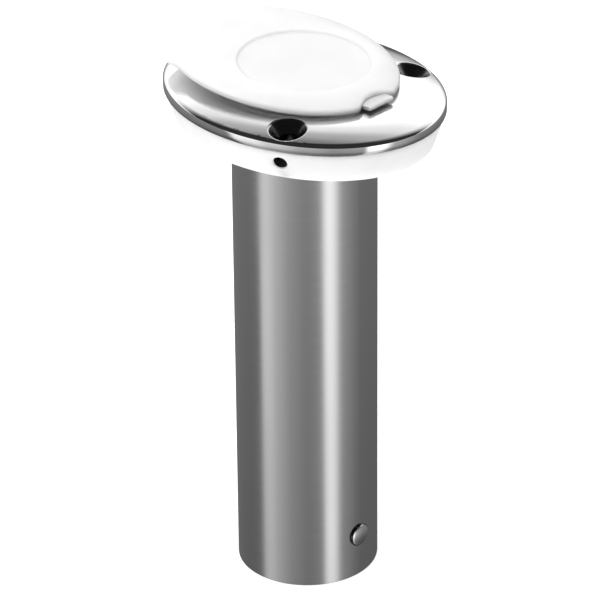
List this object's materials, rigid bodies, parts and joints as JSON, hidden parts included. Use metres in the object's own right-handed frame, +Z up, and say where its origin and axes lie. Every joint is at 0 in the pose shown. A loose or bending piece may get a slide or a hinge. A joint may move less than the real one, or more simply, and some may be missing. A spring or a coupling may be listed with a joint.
{
  "type": "rod holder",
  "caption": "Flush-mount fishing rod holder: welded steel tube under an oval screw-down flange, with a soft liner, a hinged lid and a tapered gasket.",
  "frame": {"origin": "on the tube's axis, in the plane of the gasket's underside, which is the deck", "axes": "+Z up along the tube's axis, out of its mouth; +X along the flange's long axis, towards the lid's hinge; the lid's thumb tab is at -X, on the -Y side"},
  "size_m": [0.1086, 0.086, 0.1986],
  "materials": {
    "polished_steel": "mirror polished stainless steel",
    "brushed_steel": "brushed stainless steel",
    "soft_pvc": "soft satin",
    "gasket_pvc": "satin"
  },
  "bodies": {
    "holder": {"flange": "polished_steel", "tube": "brushed_steel", "weld_bead": "brushed_steel", "gimbal_pin": "polished_steel", "liner": "soft_pvc", "hinge_strap": "soft_pvc", "gasket": "gasket_pvc"},
    "cap": {"cap": "soft_pvc"}
  },
  "joints": [
    {"name": "cap_hinge", "type": "hinge", "parent": "holder", "child": "cap", "pos_m": [0.0355, 0, 0.01915], "axis": [0, 1, 0], "range_deg": [-3, 155]}
  ]
}
